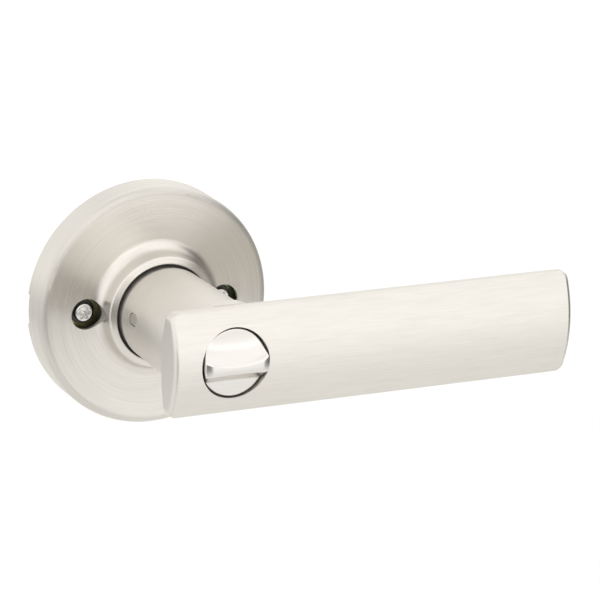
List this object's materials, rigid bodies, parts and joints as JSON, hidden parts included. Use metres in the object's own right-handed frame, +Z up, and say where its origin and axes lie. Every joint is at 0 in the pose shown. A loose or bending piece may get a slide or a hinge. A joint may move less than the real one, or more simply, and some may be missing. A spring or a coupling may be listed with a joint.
{
  "type": "door lever handle",
  "caption": "Inside half of a privacy door lever: round rose, straight flat lever with a turn button, return spring, square spindle and lock rod.",
  "frame": {"origin": "centre of the back of the rose, in the door face plane, on the spindle axis", "axes": "+Z up, +X towards the tip of the lever, +Y into the door along the spindle"},
  "size_m": [0.1364, 0.1156, 0.068],
  "materials": {
    "satin_nickel": "satin nickel, brushed",
    "bright_nickel": "polished nickel",
    "yellow_zinc": "yellow zinc plated",
    "screw_steel": "bright zinc plated",
    "black_oxide": "black oxide",
    "catch_steel": "satin nickel plated",
    "white_nylon": "natural nylon",
    "black_nylon": "black acetal",
    "cast_zinc": "die-cast zinc, as cast",
    "zinc_steel": "clear zinc plated",
    "bumper_rubber": "moulded rubber",
    "spring_steel": "oiled spring steel"
  },
  "bodies": {
    "trim": {"rose": "satin_nickel", "rose_insert": "white_nylon", "mounting_plate": "yellow_zinc", "through_bolts": "screw_steel", "screw_washers": "black_oxide", "collar_bushing": "black_nylon", "spring_cage": "cast_zinc", "cage_rivets": "zinc_steel", "stop_bumpers": "bumper_rubber", "return_spring": "spring_steel"},
    "lever": {"lever_handle": "satin_nickel", "drive_sleeve": "zinc_steel", "drive_plate": "yellow_zinc", "thrust_washer": "zinc_steel", "retaining_ring": "spring_steel", "spindle_hub": "cast_zinc", "spindle": "zinc_steel", "spindle_pin": "spring_steel", "catch_spring": "spring_steel", "detent_spring": "spring_steel"},
    "privacy_button": {"turn_button": "bright_nickel", "lock_rod": "zinc_steel", "button_washer": "black_nylon", "button_clip": "spring_steel"},
    "catch": {"lever_catch": "catch_steel"}
  },
  "joints": [
    {"name": "lever_turn", "type": "hinge", "parent": "trim", "child": "lever", "pos_m": [0, 0, 0], "axis": [0, 1, 0], "range_deg": [-50, 50], "stiffness_Nm_per_rad": 1.6, "springref_deg": -3.15, "deforming": ["return_spring"]},
    {"name": "button_turn", "type": "hinge", "parent": "lever", "child": "privacy_button", "pos_m": [0, 0, 0], "axis": [0, 1, 0], "range_deg": [0, 90], "deforming": ["detent_spring"]},
    {"name": "catch_press", "type": "slide", "parent": "lever", "child": "catch", "axis": [0.9848, 0, -0.1736], "range_m": [0, 0.0036], "stiffness_N_per_m": 1200, "springref_m": -0.001, "deforming": ["catch_spring"]}
  ]
}
